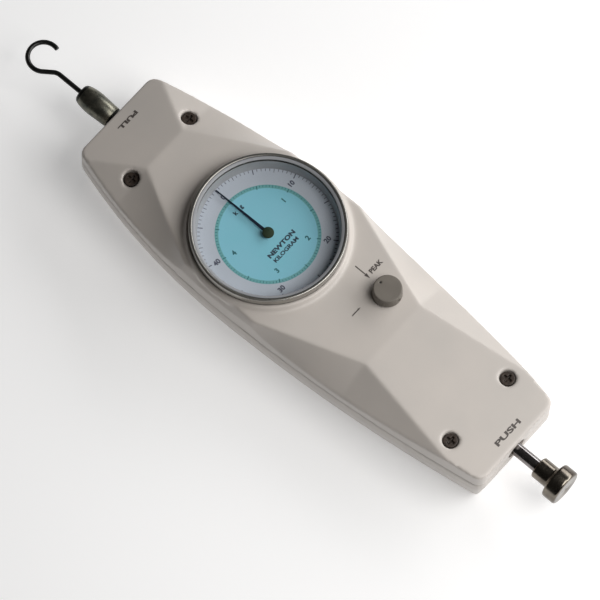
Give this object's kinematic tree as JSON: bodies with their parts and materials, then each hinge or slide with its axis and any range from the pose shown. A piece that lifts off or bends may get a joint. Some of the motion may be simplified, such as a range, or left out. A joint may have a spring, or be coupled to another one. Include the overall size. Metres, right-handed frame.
{
  "type": "force gauge",
  "caption": "Hand-held analog push-pull force gauge with a faceted two-shell case, round dial, peak knob, pull hook and flat push head.",
  "frame": {"origin": "centre of the four mounting holes on the flat back face", "axes": "+X along the measuring rod towards the push head, +Z out of the dial, +Y to complete a right-handed frame"},
  "size_m": [0.3091, 0.0742, 0.042],
  "materials": {
    "case_paint": "satin",
    "dark_screw": "black oxide",
    "bronze": "machined",
    "plate_brass": "brushed",
    "inner_steel": "machined",
    "spring_steel": "drawn wire",
    "rod_chrome": "polished",
    "dark_steel": "blackened",
    "bezel_metal": "satin",
    "lens_glass": "clear",
    "dial_print": "matt printed",
    "pointer_black": "matt",
    "hub_brass": "aged",
    "knob_plastic": "satin",
    "pad_rubber": "matt"
  },
  "bodies": {
    "case": {"front_cover": "case_paint", "rear_cover": "case_paint", "case_screws": "dark_screw", "hook_end_bush": "bronze", "push_end_bush": "bronze", "base_plate": "plate_brass", "middle_plate": "plate_brass", "upper_plate": "plate_brass", "lower_pillars": "inner_steel", "upper_pillars": "inner_steel", "plate_screws": "inner_steel", "frame_screws": "inner_steel", "spring_bracket": "inner_steel", "bracket_screws": "inner_steel", "knob_bush": "bronze", "lever_stud": "inner_steel"},
    "rod": {"measuring_rod": "rod_chrome", "rack": "inner_steel", "rack_screws": "inner_steel", "guide_pin": "inner_steel", "spring_collar": "inner_steel", "collar_screw": "inner_steel", "load_spring": "spring_steel", "hook_adapter": "dark_steel", "pull_hook": "dark_steel", "push_head": "rod_chrome"},
    "drive_gear": {"drive_arbor": "inner_steel", "drive_wheel": "plate_brass"},
    "pointer_set": {"centre_arbor": "inner_steel", "brake_drum": "plate_brass", "pointer": "pointer_black", "pointer_hub": "hub_brass"},
    "bezel": {"bezel_ring": "bezel_metal", "dial_lens": "lens_glass", "lens_ring": "bezel_metal", "dial_face": "dial_print", "bezel_snap_ring": "inner_steel"},
    "knob": {"peak_knob": "knob_plastic", "knob_shaft": "inner_steel", "knob_set_screw": "dark_screw"},
    "brake": {"brake_lever": "inner_steel", "brake_pad": "pad_rubber"}
  },
  "joints": [
    {"name": "rod_slide", "type": "slide", "parent": "case", "child": "rod", "axis": [-1, 0, 0], "range_m": [0, 0.01005], "stiffness_N_per_m": 5000, "deforming": ["load_spring"]},
    {"name": "drive_spin", "type": "hinge", "parent": "case", "child": "drive_gear", "pos_m": [-0.03728, -0.0095, 0.02], "axis": [0, 0, 1], "range_deg": [0, 144]},
    {"name": "pointer_spin", "type": "hinge", "parent": "case", "child": "pointer_set", "pos_m": [-0.027, 0, 0.034], "axis": [0, 0, -1], "range_deg": [0, 360]},
    {"name": "bezel_turn", "type": "hinge", "parent": "case", "child": "bezel", "pos_m": [-0.027, 0, 0.0365], "axis": [0, 0, 1], "continuous": true},
    {"name": "knob_turn", "type": "hinge", "parent": "case", "child": "knob", "pos_m": [0.03, 0.0126, 0.0385], "axis": [0, 0, 1], "range_deg": [0, 90]},
    {"name": "brake_swing", "type": "hinge", "parent": "case", "child": "brake", "pos_m": [-0.009, 0.009, 0.0286], "axis": [0, 0, 1], "range_deg": [-1.62, 0]}
  ],
  "couplings": [
    {"joint": "drive_spin", "follows": "rod_slide", "rad_per_m": 250},
    {"joint": "pointer_spin", "follows": "rod_slide", "rad_per_m": 625},
    {"joint": "brake_swing", "follows": "knob_turn", "ratio": -0.018}
  ]
}
